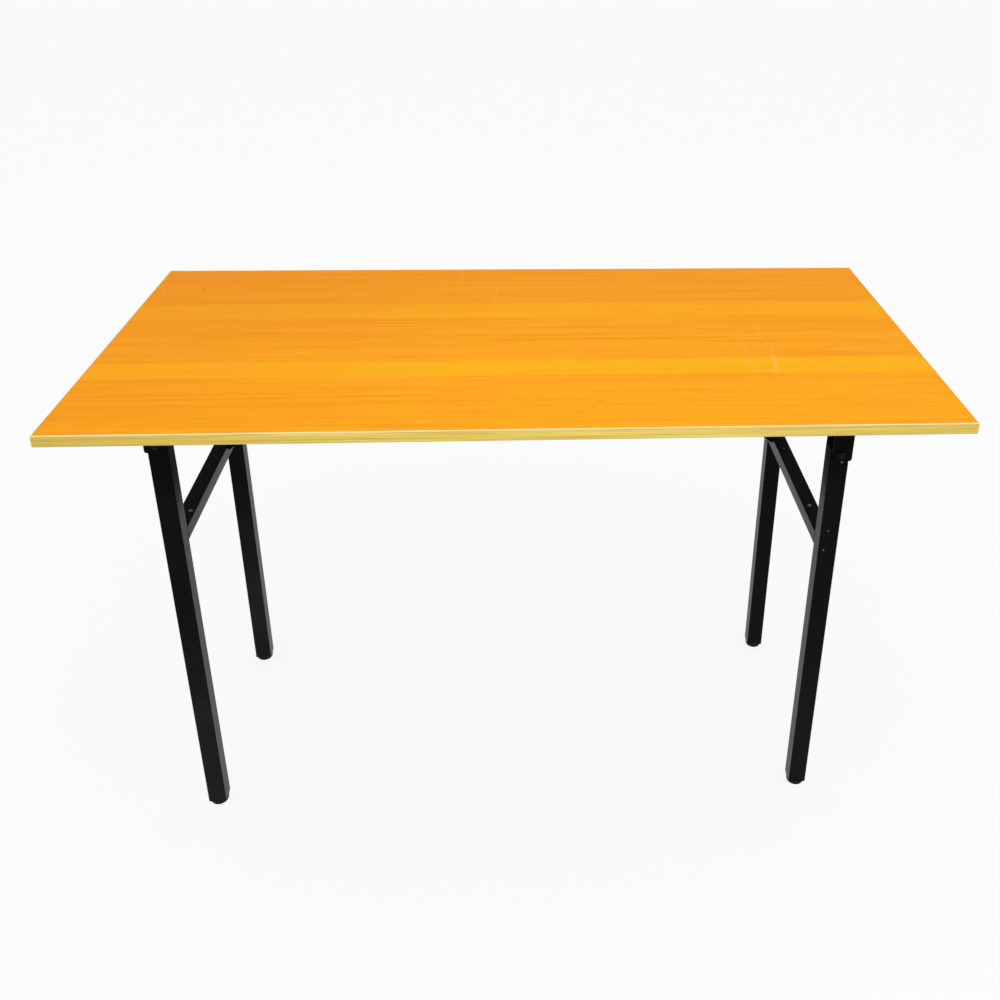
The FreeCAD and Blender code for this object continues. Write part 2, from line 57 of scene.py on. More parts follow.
class Paint:
    """A value in a material's nodes, so that shader maths reads as plain expressions."""

    def __init__(self, tree, outlet=None):
        self.tree = tree
        self.outlet = outlet

    def node(self, kind, settings, inlets, outlet=0):
        """Add any node: its settings first, then the values or links of its sockets."""
        made = self.tree.nodes.new("ShaderNode" + kind)
        for name, value in settings.items():
            setattr(made, name, value)
        for name, value in inlets.items():
            inlet = made.inputs[name]
            if isinstance(value, Paint):
                self.tree.links.new(value.outlet, inlet)
            elif isinstance(value, tuple) and inlet.type == "RGBA":
                inlet.default_value = (*value, 1)
            else:
                inlet.default_value = value
        return Paint(self.tree, made.outputs[outlet])

    def math(self, operation, *others):
        return self.node("Math", {"operation": operation}, dict(enumerate((self, *others))))

    def __add__(self, other):
        return self.math("ADD", other)

    def __sub__(self, other):
        return self.math("SUBTRACT", other)

    def __mul__(self, other):
        return self.math("MULTIPLY", other)

    def __truediv__(self, other):
        return self.math("DIVIDE", other)

    def __rsub__(self, other):
        return self.node("Math", {"operation": "SUBTRACT"}, {0: other, 1: self})

    __radd__ = __add__
    __rmul__ = __mul__

    def rise(self, low, high):
        """0 below low, 1 above high and a smooth step between them."""
        return self.node("MapRange", {"interpolation_type": "SMOOTHSTEP"}, {0: self, 1: low, 2: high})

    def between(self, low, high, soft):
        """1 between two values, with soft edges."""
        return self.rise(low - soft, low + soft) * (1 - self.rise(high - soft, high + soft))

    def tint(self, clear, full):
        """A colour that goes from one to another as this value goes from 0 to 1."""
        return self.node("Mix", {"data_type": "RGBA"}, {0: self, 6: clear, 7: full}, 2)

    def stretched(self, scale):
        return self.node("VectorMath", {"operation": "MULTIPLY"}, {0: self, 1: scale})

    def noise(self, scale, detail=2.0, roughness=0.5):
        """Cloudy noise at this point, with its own scale along each axis."""
        return self.node("TexNoise", {}, {"Vector": self.stretched(scale), "Scale": 1.0, "Detail": detail,
                                          "Roughness": roughness})

    def bump(self, strength, depth):
        """A surface normal for this height."""
        return self.node("Bump", {}, {"Strength": strength, "Distance": depth, "Height": self})

    def axes(self, wanted):
        """The coordinates of this point along the wanted axes, such as XZ."""
        return [self.node("SeparateXYZ", {}, {0: self}, letter) for letter in wanted]


def surface(name, specular):
    """A new material: its surface shader, and the point being shaded, in the frame's metres."""
    material = bpy.data.materials.new(name)
    material.use_nodes = True
    shader = material.node_tree.nodes["Principled BSDF"]
    shader.inputs["Specular IOR Level"].default_value = specular
    point = Paint(material.node_tree).node("TexCoord", {}, {}, "Object")
    return material, shader, point


def feed(shader, name, paint):
    shader.id_data.links.new(paint.outlet, shader.inputs[name])


def wear(node, material):
    """Give a CAD node its finish."""
    slots = frame["nodes"][node].data.materials
    slots.clear()
    slots.append(material)


def chipboard():
    material, shader, point = surface("chipboard", 0.2)
    cells = point.stretched(chips_per_metre)
    chip = point.node("TexVoronoi", {}, {"Vector": cells, "Scale": 1.0}, "Color")
    tone = point.node("SeparateColor", {}, {0: chip}, 0)
    feed(shader, "Base Color", tone.tint(dark_chip, pale_chip))
    feed(shader, "Roughness", 0.8 + tone * 0.15)
    feed(shader, "Normal", tone.bump(0.5, 0.0004))
    return material


wear("board_core", chipboard())


# Underside: a dark brown backing paper glued to the board to keep it flat. It is flecked with fibres and
# has gone cloudy in the press.

paper_dark = (0.070, 0.045, 0.029)
paper_light = (0.100, 0.066, 0.044)
paper_fibre = (0.17, 0.12, 0.085)


def backing_paper():
    material, shader, point = surface("backing_paper", 0.2)
    cloud = point.noise((6.0, 9.0, 6.0), 4.0, 0.6)
    fleck = point.noise((90.0, 420.0, 90.0), 3.0, 0.6).rise(0.5, 0.75)
    colour = cloud.rise(0.3, 0.7).tint(paper_dark, paper_light)
    feed(shader, "Base Color", (fleck * 0.5).tint(colour, paper_fibre))
    feed(shader, "Roughness", 0.68 + fleck * 0.15)
    feed(shader, "Normal", (fleck + cloud).bump(0.2, 0.0002))
    return material


wear("underside_laminate", backing_paper())


# Top: a printed wood-grain laminate pressed on the board, matt-satin, drawn as five planks along the desk.
# Two narrow pale planks lie between three broad orange ones. Use has left pale scuffs and a few dark specks.

pale_planks = ((0.0747, 0.1367), (-0.1400, -0.0880))
orange = (0.985, 0.398, 0.0100)
deep_orange = (0.850, 0.215, 0.0055)
light_orange = (0.990, 0.455, 0.0110)
pale_orange = (0.995, 0.462, 0.0080)
shaded_orange = (0.800, 0.235, 0.0060)
scuff_colour = (0.985, 0.600, 0.190)
speck_colour = (0.40, 0.125, 0.010)
joint_colour = (0.40, 0.135, 0.012)
broad_grain = (0.8, 26.0, 1.0)
streak_grain = (2.6, 140.0, 1.0)
fine_grain = (9.0, 420.0, 1.0)
plank_shift = 3.7
seam_offset = 0.0022
seam_half = 0.0024
knot_half = 0.0026
scuff_half = 0.0060
joint_width = 0.0016
left_shade = (-0.65, 0.10)
back_shade = (-0.20, 0.30)
# Each knot's place along and across the desk, its half length and its strength
knots = ((-0.013, -0.0147, 0.016, 0.9), (0.025, -0.0153, 0.016, 0.8), (0.123, -0.0120, 0.042, 0.45),
         (0.217, -0.0120, 0.026, 0.35), (0.297, -0.0130, 0.030, 0.5), (0.387, -0.0120, 0.014, 0.4),
         (0.417, -0.0167, 0.016, 0.7), (0.110, -0.2230, 0.012, 0.7), (-0.300, 0.2200, 0.018, 0.3))
# Each scuff's back and front end, and its strength
scuffs = (((0.341, 0.020), (0.337, -0.133), 0.30), ((0.374, 0.020), (0.372, -0.020), 0.40),
          ((0.378, -0.056), (0.370, -0.139), 0.80), ((-0.031, 0.207), (-0.037, 0.140), 0.42),
          ((-0.095, 0.287), (-0.095, 0.250), 0.45), ((-0.110, 0.100), (-0.112, -0.090), 0.18),
          ((-0.583, 0.213), (-0.575, 0.180), 0.35))
# Each speck's place and its half length
specks = ((-0.519, 0.2087, 0.0042), (-0.137, 0.2147, 0.0026), (0.592, 0.2150, 0.0040))
top_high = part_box("top_laminate")[1]


def total(paints):
    first, *rest = paints
    return sum(rest, first)


def ellipse(x, y, centre, size):
    """How far a point is from a centre, counted in half lengths of an ellipse."""
    along, across = ((value - place) / half for value, place, half in zip((x, y), centre, size))
    return (along * along + across * across).math("SQRT")


def printed_wood():
    """Grain along each plank, bent round its knots, under scuffs, specks and the joint at the edge."""
    material, shader, point = surface("printed_wood", 0.015)
    x, y = point.axes("XY")
    seams = [edge for pair in pale_planks for edge in pair]
    plank = total(y.rise(edge - 0.0004, edge + 0.0004) for edge in seams)
    pale = total(y.between(*pair, 0.0010) for pair in pale_planks)
    bend = (point.noise((1.6, 7.0, 1.0)) - 0.5) * 0.010
    spread = []
    hearts = []
    for knot_x, knot_y, length, weight in knots:
        far = ellipse(x, y, (knot_x, knot_y), (length * 2.2, 0.010))
        spread.append((1 - far.rise(0.0, 1.5)) * (y - knot_y) * 0.55)
        heart = ellipse(x, y + bend * 0.4, (knot_x, knot_y), (length, knot_half))
        hearts.append((1 - heart.rise(0.35, 1.1)) * weight)
    grain_y = y + bend - total(spread)
    along = point.node("CombineXYZ", {}, {0: x + plank * plank_shift, 1: grain_y, 2: plank})
    broad = along.noise(broad_grain, 3.0, 0.55)
    streak = along.noise(streak_grain, 3.0, 0.65)
    fine = along.noise(fine_grain, 2.0, 0.6)
    seam_lines = [edge + way * seam_offset for pair in pale_planks for edge, way in zip(pair, (-1, 1))]
    seam = total(y.between(line, line, seam_half) for line in seam_lines)
    seam = seam * along.noise((3.0, 1.0, 1.0)).rise(0.25, 0.65)
    dark = broad.rise(0.42, 0.68) * 0.09 + streak.rise(0.46, 0.68) * 0.36 + fine.rise(0.46, 0.70) * 0.18
    dark = (dark + 0.07) * (1 - pale * 0.45) + seam * 0.35 + total(hearts) * 0.75
    light = (1 - streak.rise(0.32, 0.50)) * 0.5 + (1 - broad.rise(0.32, 0.52)) * 0.25 + 0.12
    colour = pale.tint(light.math("MINIMUM", 1.0).tint(orange, light_orange), pale_orange)
    colour = dark.math("MINIMUM", 1.0).tint(colour, deep_orange)
    # Painted shade: the print is darkened towards the left end and towards the back of the desk.
    shade = (1 - x.rise(*left_shade)) * 0.26 + y.rise(*back_shade) * 0.34
    colour = shade.tint(colour, shaded_orange)
    lines = []
    for (x_back, y_back), (x_front, y_front), weight in scuffs:
        lean = (x_front - x_back) / (y_front - y_back)
        off = (x - x_back - (y - y_back) * lean).math("ABSOLUTE")
        lines.append((1 - off.rise(0.0004, scuff_half)) * y.between(y_front, y_back, 0.012) * weight)
    scuff = total(lines) * point.noise((60.0, 90.0, 1.0)).rise(0.22, 0.62)
    colour = (scuff * 0.36).tint(colour, scuff_colour)
    spots = [1 - ellipse(x, y, spot[:2], (spot[2], spot[2] * 0.6)).rise(0.5, 1.0) for spot in specks]
    colour = (total(spots) * 0.65).tint(colour, speck_colour)
    inside = (top_high.x - x.math("ABSOLUTE")).math("MINIMUM", top_high.y - y.math("ABSOLUTE"))
    joint = 1 - inside.rise(0.0003, joint_width)
    feed(shader, "Base Color", (joint * 0.60).tint(colour, joint_colour))
    feed(shader, "Roughness", 0.40 + streak * 0.10 + scuff * 0.15)
    feed(shader, "Normal", (streak + fine).bump(0.08, 0.0003))
    return material


wear("top_laminate", printed_wood())


# Edging: a beech-print strip glued along each side of the board, with fine streaks along it. Its upper
# arris is trimmed flush after gluing, which leaves a cream line round the top.

sides = {"left": -1, "right": 1}
rows = ("front", "rear")
arris = 0.0014
beech = (0.82, 0.60, 0.105)
pale_beech = (0.93, 0.72, 0.190)
end_shade_beech = (0.58, 0.40, 0.060)
beech_streak = (0.56, 0.385, 0.060)
beech_fleck = (0.44, 0.29, 0.045)
lower_edge_shade = (0.32, 0.235, 0.075)
lip_line = (0.46, 0.34, 0.085)
cream = (0.97, 0.72, 0.33)
left_end_shade = (-0.66, -0.10)
right_end_shade = (0.15, 0.62)
band_low, band_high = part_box("front_edge_band")


def beech_edging(name, stretch):
    """Beech print whose streaks are stretched along the strip."""
    material, shader, point = surface(name, 0.15)
    x, z = point.axes("XZ")
    broad = point.noise(tuple(s * 0.35 for s in stretch), 3.0, 0.6)
    streak = point.noise(stretch, 4.0, 0.65)
    fleck = point.noise(tuple(s * 2.6 for s in stretch), 2.0, 0.5).rise(0.56, 0.72)
    colour = broad.rise(0.32, 0.68).tint(beech, pale_beech)
    # Painted shade: the strip is darkened towards both ends of the desk, more at the left.
    ends = (1 - x.rise(*left_end_shade)) * 0.62 + x.rise(*right_end_shade) * 0.34
    colour = ends.tint(colour, end_shade_beech)
    colour = (streak.rise(0.44, 0.66) * 0.70).tint(colour, beech_streak)
    colour = (fleck * 0.50).tint(colour, beech_fleck)
    # Painted shade: a darker ragged line along the strip's lower edge.
    foot = 1 - (z + streak * 0.0016).rise(band_low.z + 0.0008, band_low.z + 0.0022)
    colour = (foot * 0.60).tint(colour, lower_edge_shade)
    arris_foot = band_high.z - arris
    lip = z.between(arris_foot - 0.0010, arris_foot - 0.0005, 0.0004)
    colour = (lip * 0.35).tint(colour, lip_line)
    on_arris = z.rise(arris_foot - 0.0003, arris_foot + 0.0004)
    feed(shader, "Base Color", on_arris.tint(colour, cream))
    feed(shader, "Roughness", 0.40 + streak * 0.12)
    feed(shader, "Normal", streak.bump(0.12, 0.0002))
    return material


along_desk = beech_edging("beech_edging_long", (5.0, 60.0, 420.0))
across_desk = beech_edging("beech_edging_short", (60.0, 5.0, 420.0))
for row in rows:
    wear(row + "_edge_band", along_desk)
for side in sides:
    wear(side + "_edge_band", across_desk)


# Hinge brackets: sheet steel folded into a saddle round each leg top, with two screwed flanges, in black
# powder coat. The coat has a fine orange peel. It is matt on what faces up and near the board, where nothing
# rubs it. Low down it is painted greyer as painted light off the floor, most of all at the left end.

coat_dark = (0.0016, 0.0016, 0.0019)
coat_light = (0.0030, 0.0029, 0.0034)
dust_and_light_grey = (0.27, 0.28, 0.31)
chip_and_glint_steel = (0.13, 0.13, 0.14)
low_light_heights = (0.15, 0.42)
matt_heights = (0.53, 0.63)
end_to_end = (-0.50, 0.46)


def powder_coat(name, chips_and_glint=()):
    """Black coat, with chipped spots and a painted highlight in steel grey, at given places and radii."""
    material, shader, point = surface(name, 0.05)
    peel = point.noise((900.0, 900.0, 900.0), 2.0, 0.5)
    cloud = point.noise((14.0, 14.0, 9.0), 4.0, 0.6)
    x, z = point.axes("XZ")
    [normal_z] = point.node("TexCoord", {}, {}, "Normal").axes("Z")
    facing_up = normal_z.rise(0.55, 0.95)
    dust = facing_up * point.noise((70.0, 70.0, 70.0), 4.0, 0.65).rise(0.35, 0.75)
    colour = cloud.rise(0.3, 0.7).tint(coat_dark, coat_light)
    # Painted light: greyer low down, most of all at the left end; the grey on what faces up is real dust.
    low_down = 1 - z.rise(*low_light_heights)
    left_end = 1 - x.rise(*end_to_end)
    painted_low_light = low_down * cloud * (0.008 + left_end * 0.050)
    colour = (dust * 0.008 + painted_low_light).tint(colour, dust_and_light_grey)
    chip_and_glint_masks = []
    for place, radius in chips_and_glint:
        off = point.node("VectorMath", {"operation": "DISTANCE"}, {0: point, 1: place}, "Value")
        ragged = off + point.noise((600.0, 600.0, 600.0)) * radius
        chip_and_glint_masks.append(1 - ragged.rise(radius * 0.95, radius * 1.25))
    if chip_and_glint_masks:
        colour = total(chip_and_glint_masks).math("MINIMUM", 1.0).tint(colour, chip_and_glint_steel)
    feed(shader, "Base Color", colour)
    unrubbed = facing_up.math("MAXIMUM", z.rise(*matt_heights))
    feed(shader, "Roughness", 0.20 + cloud * 0.12 + unrubbed * 0.45)
    feed(shader, "Normal", peel.bump(0.06, 0.0002))
    return material


bracket_coat = powder_coat("bracket_coat")
for side in sides:
    for row in rows:
        wear(side + "_" + row + "_hinge_bracket", bracket_coat)


# Woodscrews: bright zinc-plated pan heads with a cross recess, driven up through the bracket and guide
# flanges into the board.

pan_radius = 0.0040
pan_height = 0.0024
pan_shank = 0.00175
pan_length = 0.0130
pan_point = 0.0002
pan_rim = 0.0007
pan_recess = 0.0019
ring_points = 32
sharp_edge = math.radians(35)


def solids(node):
    """The lowest and highest corner of each separate solid in a CAD node."""
    mesh = frame["nodes"][node].data
    spots = [tuple(round(c, 6) for c in vertex.co) for vertex in mesh.vertices]
    leads = {spot: spot for spot in spots}

    def lead(spot):
        while leads[spot] != spot:
            spot = leads[spot]
        return spot

    for edge in mesh.edges:
        first, second = (lead(spots[k]) for k in edge.vertices)
        leads[first] = second
    groups = {}
    for spot in leads:
        groups.setdefault(lead(spot), []).append(spot)
    return [(Vector(map(min, zip(*group))), Vector(map(max, zip(*group)))) for group in groups.values()]


def skin(rings):
    """A closed skin over rings of equally many points, flat at both ends."""
    count = len(rings[0])
    last = (len(rings) - 1) * count
    faces = [tuple(reversed(range(count))), tuple(range(last, last + count))]
    for ring in range(0, last, count):
        for k in range(count):
            after = (k + 1) % count
            faces.append((ring + k, ring + after, ring + count + after, ring + count + k))
    return [point for ring in rings for point in ring], faces


def circle(radius, height, count=ring_points):
    turns = [math.tau * k / count for k in range(count)]
    return [(radius * math.cos(turn), radius * math.sin(turn), height) for turn in turns]


def crown(radius, height, rim, steps=7):
    """The radii and heights of a domed head, from its rim to its top."""
    rise = height - rim
    turns = [math.pi / 2 * k / steps for k in range(steps)]
    dome = [(radius * (0.12 + 0.88 * math.cos(turn)), rim + rise * math.sin(turn)) for turn in turns]
    return [(radius, 0.0)] + dome + [(radius * 0.10, height)]


def shaped(name, skins):
    """A mesh object from placed skins, smooth except at its sharp edges."""
    work = bmesh.new()
    for (points, faces), place in skins:
        corners = [work.verts.new(place @ Vector(point)) for point in points]
        for face in faces:
            work.faces.new([corners[k] for k in face])
    bmesh.ops.recalc_face_normals(work, faces=work.faces)
    mesh = bpy.data.meshes.new(name)
    work.to_mesh(mesh)
    work.free()
    mesh.shade_smooth()
    mesh.set_sharp_from_angle(angle=sharp_edge)
    piece = bpy.data.objects.new(name, mesh)
    bpy.context.collection.objects.link(piece)
    return piece


def cross_recess(blank, top, reach):
    """A screw with a cross cut into its crown, narrower at its floor, as points and faces."""
    rings = []
    # Height above the crown and length of arm, at the mouth and at the floor, both counted in reaches
    for rise, share in ((0.35, 1.05), (-0.75, 0.55)):
        arm, half = reach * share, reach * 0.26
        quarter = [(arm, -half), (arm, half), (half, half)]
        ring = []
        for turn in range(4):
            cos, sin = (1, 0, -1, 0)[turn], (0, 1, 0, -1)[turn]
            ring += [(x * cos - y * sin, x * sin + y * cos, top + rise * reach) for x, y in quarter]
        rings.append(ring)
    screw = shaped("screw_blank", [(blank, Matrix())])
    driver = shaped("driver_tip", [(skin(rings), Matrix())])
    cut = screw.modifiers.new("recess", "BOOLEAN")
    cut.operation = "DIFFERENCE"
    cut.object = driver
    mesh = bpy.data.meshes.new_from_object(screw.evaluated_get(bpy.context.evaluated_depsgraph_get()))
    result = [tuple(v.co) for v in mesh.vertices], [tuple(face.vertices) for face in mesh.polygons]
    for spent in (screw, driver):
        bpy.data.objects.remove(spent)
    return result


def facing(place, way):
    """Move a piece made along +Z to a place, and turn it to face a way."""
    return Matrix.Translation(place) @ Vector((0, 0, 1)).rotation_difference(Vector(way)).to_matrix().to_4x4()


def plated(name, dull, bright, glint=None):
    """Plated steel, cloudy between two colours, with a painted glint towards a third colour at the front of
    the desk.
    """
    material, shader, point = surface(name, 0.5)
    shader.inputs["Metallic"].default_value = 1.0
    cloud = point.noise((220.0, 220.0, 220.0), 4.0, 0.6)
    brush = point.noise((300.0, 2600.0, 2600.0), 2.0, 0.6)
    colour = cloud.rise(0.3, 0.7).tint(dull, bright)
    if glint:
        # Painted highlight: heads at the front of the desk are painted lighter as a glint.
        [y] = point.axes("Y")
        front_glint = 1 - y.rise(-0.02, 0.02)
        colour = (front_glint * (0.4 + cloud)).math("MINIMUM", 1.0).tint(colour, glint)
    feed(shader, "Base Color", colour)
    feed(shader, "Roughness", 0.24 + cloud * 0.16 + brush * 0.06)
    feed(shader, "Normal", brush.bump(0.05, 0.0001))
    return material


def stand_for(piece, nodes, body, material):
    """Put a finished piece in the place of CAD nodes."""
    piece.data.materials.append(material)
    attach(piece, body)
    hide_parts(*nodes)


zinc = plated("zinc_plate", dull=(0.46, 0.46, 0.46), bright=(0.62, 0.62, 0.60))
pan_head = crown(pan_radius, pan_height, pan_rim)
pan_stem = [(pan_point, -pan_length), (pan_shank, -pan_length * 0.75), (pan_shank, 0.0)]
pan_blank = skin([circle(*ring) for ring in pan_stem + pan_head])
woodscrew = cross_recess(pan_blank, pan_height, pan_recess)
for node in ("bracket_screws", "guide_screws"):
    seats = [((low + high) / 2, low.z + pan_height) for low, high in solids(node)]
    places = [(middle.x, middle.y, height) for middle, height in seats]
    heads = shaped(node + "_driven", [(woodscrew, facing(place, (0, 0, -1))) for place in places])
    stand_for(heads, [node], "top", zinc)


# Legs: 28 mm square steel tube, cut round at the top to turn in the brackets, in the same powder coat. Knocks
# have chipped the coat on the right front leg and inside the left one. A painted highlight lies under a
# bracket.

leg_chips_and_glint = (
    # The first spot is a painted highlight just under the right front bracket's edge, not a chip.
    ((0.4661, -0.1805, 0.6250), 0.0028),
    ((0.4593, -0.1805, 0.5078), 0.0022),
    ((0.4555, -0.1805, 0.4737), 0.0024),
    ((-0.4800, -0.1652, 0.5062), 0.0020),
)
leg_coat = powder_coat("leg_coat", leg_chips_and_glint)
for side in sides:
    for row in rows:
        wear(side + "_" + row + "_leg", leg_coat)


# Pivot bolts, washers and nuts: black zinc-plated steel. A round-headed bolt goes through the bracket's
# cheeks and the sleeve that is welded into the leg, and the nut holds a washer against the inner cheek.

bolt_head_radius = 0.0055
bolt_head_height = 0.0034
bolt_rim = 0.0006
bolt_radius = 0.0030
bolt_length = 0.0432
thread_length = 0.0080
thread_pitch = 0.0010
thread_depth = 0.0005
thread_lead = 0.0004
thread_end = 0.0008
thread_rings = 48
nut_flats = 0.0100
nut_height = 0.0050
nut_chamfer = 0.0010
nut_points = 36
black_plate = (0.005, 0.005, 0.006)
black_plate_bright = (0.013, 0.013, 0.014)
# The fold's axis starts halfway between the front and the rear leg
frames_middle = frame["record"]["behaviour"]["joints"][0]["pos_m"][1]


def thread(height):
    """A ring of points on a cut thread, which climbs one pitch in a turn."""
    ring = []
    for k in range(ring_points):
        share = (height / thread_pitch - k / ring_points) % 1.0
        radius = bolt_radius - thread_depth * abs(2 * share - 1)
        turn = math.tau * k / ring_points
        ring.append((radius * math.cos(turn), radius * math.sin(turn), height))
    return ring


def round_headed_bolt():
    tip = -bolt_length
    rings = [circle(bolt_radius - thread_depth, tip)]
    rings += [thread(tip + thread_lead + thread_length * k / thread_rings) for k in range(thread_rings)]
    rings += [circle(bolt_radius, tip + thread_length + thread_end), circle(bolt_radius, 0.0)]
    rings += [circle(*ring) for ring in crown(bolt_head_radius, bolt_head_height, bolt_rim, steps=10)]
    return skin(rings)


def chamfered_nut():
    """A hexagon whose corners are turned off at both ends."""
    depths = [nut_chamfer * share for share in (0.0, 0.3, 0.6, 1.0)]
    rings = []
    for height in depths + [nut_height - depth for depth in reversed(depths)]:
        turned_off = nut_flats * 0.49 + 1.2 * min(height, nut_height - height)
        ring = []
        for k in range(nut_points):
            turn = math.tau * k / nut_points
            flat = nut_flats / 2 / math.cos((turn + math.pi / 6) % (math.pi / 3) - math.pi / 6)
            radius = min(flat, turned_off)
            ring.append((radius * math.cos(turn), radius * math.sin(turn), height))
        rings.append(ring)
    return skin(rings)


black_zinc = plated("black_zinc", black_plate, black_plate_bright)
for side in sides:
    bolts = []
    for low, high in solids(side + "_pivot_bolts"):
        middle = (low + high) / 2
        outward = 1 if middle.y > frames_middle else -1
        seat = high.y - bolt_head_height if outward > 0 else low.y + bolt_head_height
        bolts.append((round_headed_bolt(), facing((middle.x, seat, middle.z), (0, outward, 0))))
    stand_for(shaped(side + "_bolts", bolts), [side + "_pivot_bolts"], "top", black_zinc)
    nuts = []
    for low, high in solids(side + "_pivot_nuts"):
        middle = (low + high) / 2
        inward = -1 if middle.y > frames_middle else 1
        seat = low.y if inward > 0 else high.y
        nuts.append((chamfered_nut(), facing((middle.x, seat, middle.z), (0, inward, 0))))
    stand_for(shaped(side + "_nuts", nuts), [side + "_pivot_nuts"], "top", black_zinc)
    wear(side + "_pivot_washers", black_zinc)
    wear(side + "_pivot_sleeves", zinc)


# Crossbars: rectangular steel tube between the legs, flush with their inner faces, slid over tongues that
# are welded to the legs. A small black pan-head screw through the top of each end holds it, and the front
# ones are painted lighter as a painted glint.

tapper_radius = 0.0028
tapper_height = 0.0016
tapper_shank = 0.0016
tapper_length = 0.0062
tapper_point = 0.0004
tapper_rim = 0.0005
tapper_recess = 0.0013
# Painted highlight: the lighter grey of the front screws' glint.
glint_grey = (0.26, 0.26, 0.26)
bar_coat = powder_coat("crossbar_coat")
glinting_zinc = plated("glinting_black_zinc", black_plate, black_plate_bright, glint_grey)
tapper_head = crown(tapper_radius, tapper_height, tapper_rim)
tapper_stem = [(tapper_point, -tapper_length), (tapper_shank, -tapper_length * 0.8), (tapper_shank, 0.0)]
tapper_blank = skin([circle(*ring) for ring in tapper_stem + tapper_head])
tapper = cross_recess(tapper_blank, tapper_height, tapper_recess)
for side in sides:
    wear(side + "_crossbar", bar_coat)
    wear(side + "_crossbar_tongues", bar_coat)
    node = side + "_crossbar_screws"
    seats = [((low + high) / 2, high.z - tapper_height) for low, high in solids(node)]
    places = [(middle.x, middle.y, height) for middle, height in seats]
    heads = shaped(side + "_tappers", [(tapper, facing(place, (0, 0, 1))) for place in places])
    stand_for(heads, [node], side + "_frame", glinting_zinc)


# Stay ears: two steel plates welded upright on the inner face of each crossbar, coated with it. A bead of
# weld runs down the outside of each ear.

bead_radius = 0.0014
bead_steps = 40
bead_points = 12
bead_ripples = 9
weld_length = 0.0088


def weld_bead(foot, length):
    """A rippled bead that runs up from a point and thins out at both ends."""
    rings = []
    for k in range(bead_steps + 1):
        share = k / bead_steps
        swell = math.sqrt(1 - abs(2 * share - 1) ** 5) * 0.9 + 0.1
        ripple = 1 + 0.10 * math.sin(math.tau * bead_ripples * share)
        height = foot.z + length * share
        ring = circle(bead_radius * swell * ripple, height, bead_points)
        rings.append([(foot.x + x, foot.y + y, z) for x, y, z in ring])
    return skin(rings)


for side, sign in sides.items():
    wear(side + "_stay_lugs", bar_coat)
    bar_low, bar_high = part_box(side + "_crossbar")
    face_x = bar_high.x if sign < 0 else bar_low.x
    ears = sorted(solids(side + "_stay_lugs"), key=lambda ear: ear[0].y)
    feet = [Vector((face_x, ears[0][0].y, ears[0][0].z)), Vector((face_x, ears[1][1].y, ears[1][0].z))]
    beads = shaped(side + "_ear_welds", [(weld_bead(foot, weld_length), Matrix()) for foot in feet])
    beads.data.materials.append(bar_coat)
    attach(beads, side + "_frame")


# Foot caps: moulded black plastic. A plug is pushed into the tube, and the flange under the tube's end goes
# from the tube's square to a round sole. The flange's top is a paler painted highlight; the floor has greyed
# the sole.

cap_flange = 0.0080
plug_half = 0.0119
highlight_depth = 0.0040
cap_points = 96
cap_black = (0.0010, 0.0010, 0.0012)
cap_highlight_grey = (0.030, 0.030, 0.032)
cap_greyed = (0.020, 0.019, 0.018)
# Each ring's height, half width and squareness
plug_rings = ((0.0300, 0.0109, 12.0), (0.0290, plug_half, 12.0), (cap_flange, plug_half, 12.0))
sole_rings = ((0.0080, 0.01385, 8.0), (0.0077, 0.0140, 6.5), (0.0070, 0.0140, 4.6), (0.0061, 0.0140, 3.4),
              (0.0050, 0.0140, 2.7), (0.0038, 0.0140, 2.3), (0.0026, 0.0140, 2.1), (0.0016, 0.01385, 2.0),
              (0.0009, 0.0136, 2.0), (0.0004, 0.0132, 2.0), (0.0001, 0.0127, 2.0), (0.0, 0.0121, 2.0))


def cap_ring(middle, height, half, squareness):
    """A ring of points round a leg: a circle at squareness 2, and nearer a square above it."""
    ring = []
    for k in range(cap_points):
        turn = math.tau * k / cap_points
        cos, sin = math.cos(turn), math.sin(turn)
        reach = half / (abs(cos) ** squareness + abs(sin) ** squareness) ** (1 / squareness)
        ring.append((middle.x + reach * cos, middle.y + reach * sin, height))
    return ring


def moulded_plastic():
    material, shader, point = surface("moulded_plastic", 0.015)
    [z] = point.axes("Z")
    grain = point.noise((1400.0, 1400.0, 1400.0), 2.0, 0.6)
    # Painted highlight: a paler band round the top of the flange.
    highlight_band = z.between(cap_flange - highlight_depth, cap_flange, 0.0006)
    rub = 1 - (z + point.noise((180.0, 180.0, 180.0)) * 0.0004).rise(0.0002, 0.0005)
    colour = (highlight_band * (0.5 + grain * 0.5)).tint(cap_black, cap_highlight_grey)
    feed(shader, "Base Color", (rub * 0.3).tint(colour, cap_greyed))
    feed(shader, "Roughness", 0.40 + grain * 0.08 + rub * 0.15)
    feed(shader, "Normal", grain.bump(0.12, 0.0002))
    return material


cap_plastic = moulded_plastic()
for side in sides:
    caps = []
    for low, high in solids(side + "_foot_caps"):
        rings = [cap_ring((low + high) / 2, *ring) for ring in plug_rings + sole_rings]
        caps.append((skin(rings), Matrix()))
    cap_pair = shaped(side + "_caps", caps)
    stand_for(cap_pair, [side + "_foot_caps"], side + "_frame", cap_plastic)


# Stays and guides: a flat coated bar is riveted between the ears. Its upper pin, kept by a clip, runs in
# the ramped slots of two zinc-plated guide plates that are screwed under the board.

stay_coat = powder_coat("stay_coat")
guide_zinc = plated("guide_zinc", dull=(0.40, 0.40, 0.40), bright=(0.56, 0.56, 0.55))
for side in sides:
    wear(side + "_stay_bar", stay_coat)
    for row in rows:
        wear(side + "_" + row + "_guide_plate", guide_zinc)
    wear(side + "_lug_pin", black_zinc)
    for piece in ("guide_pin", "guide_pin_clip"):
        wear(side + "_" + piece, zinc)


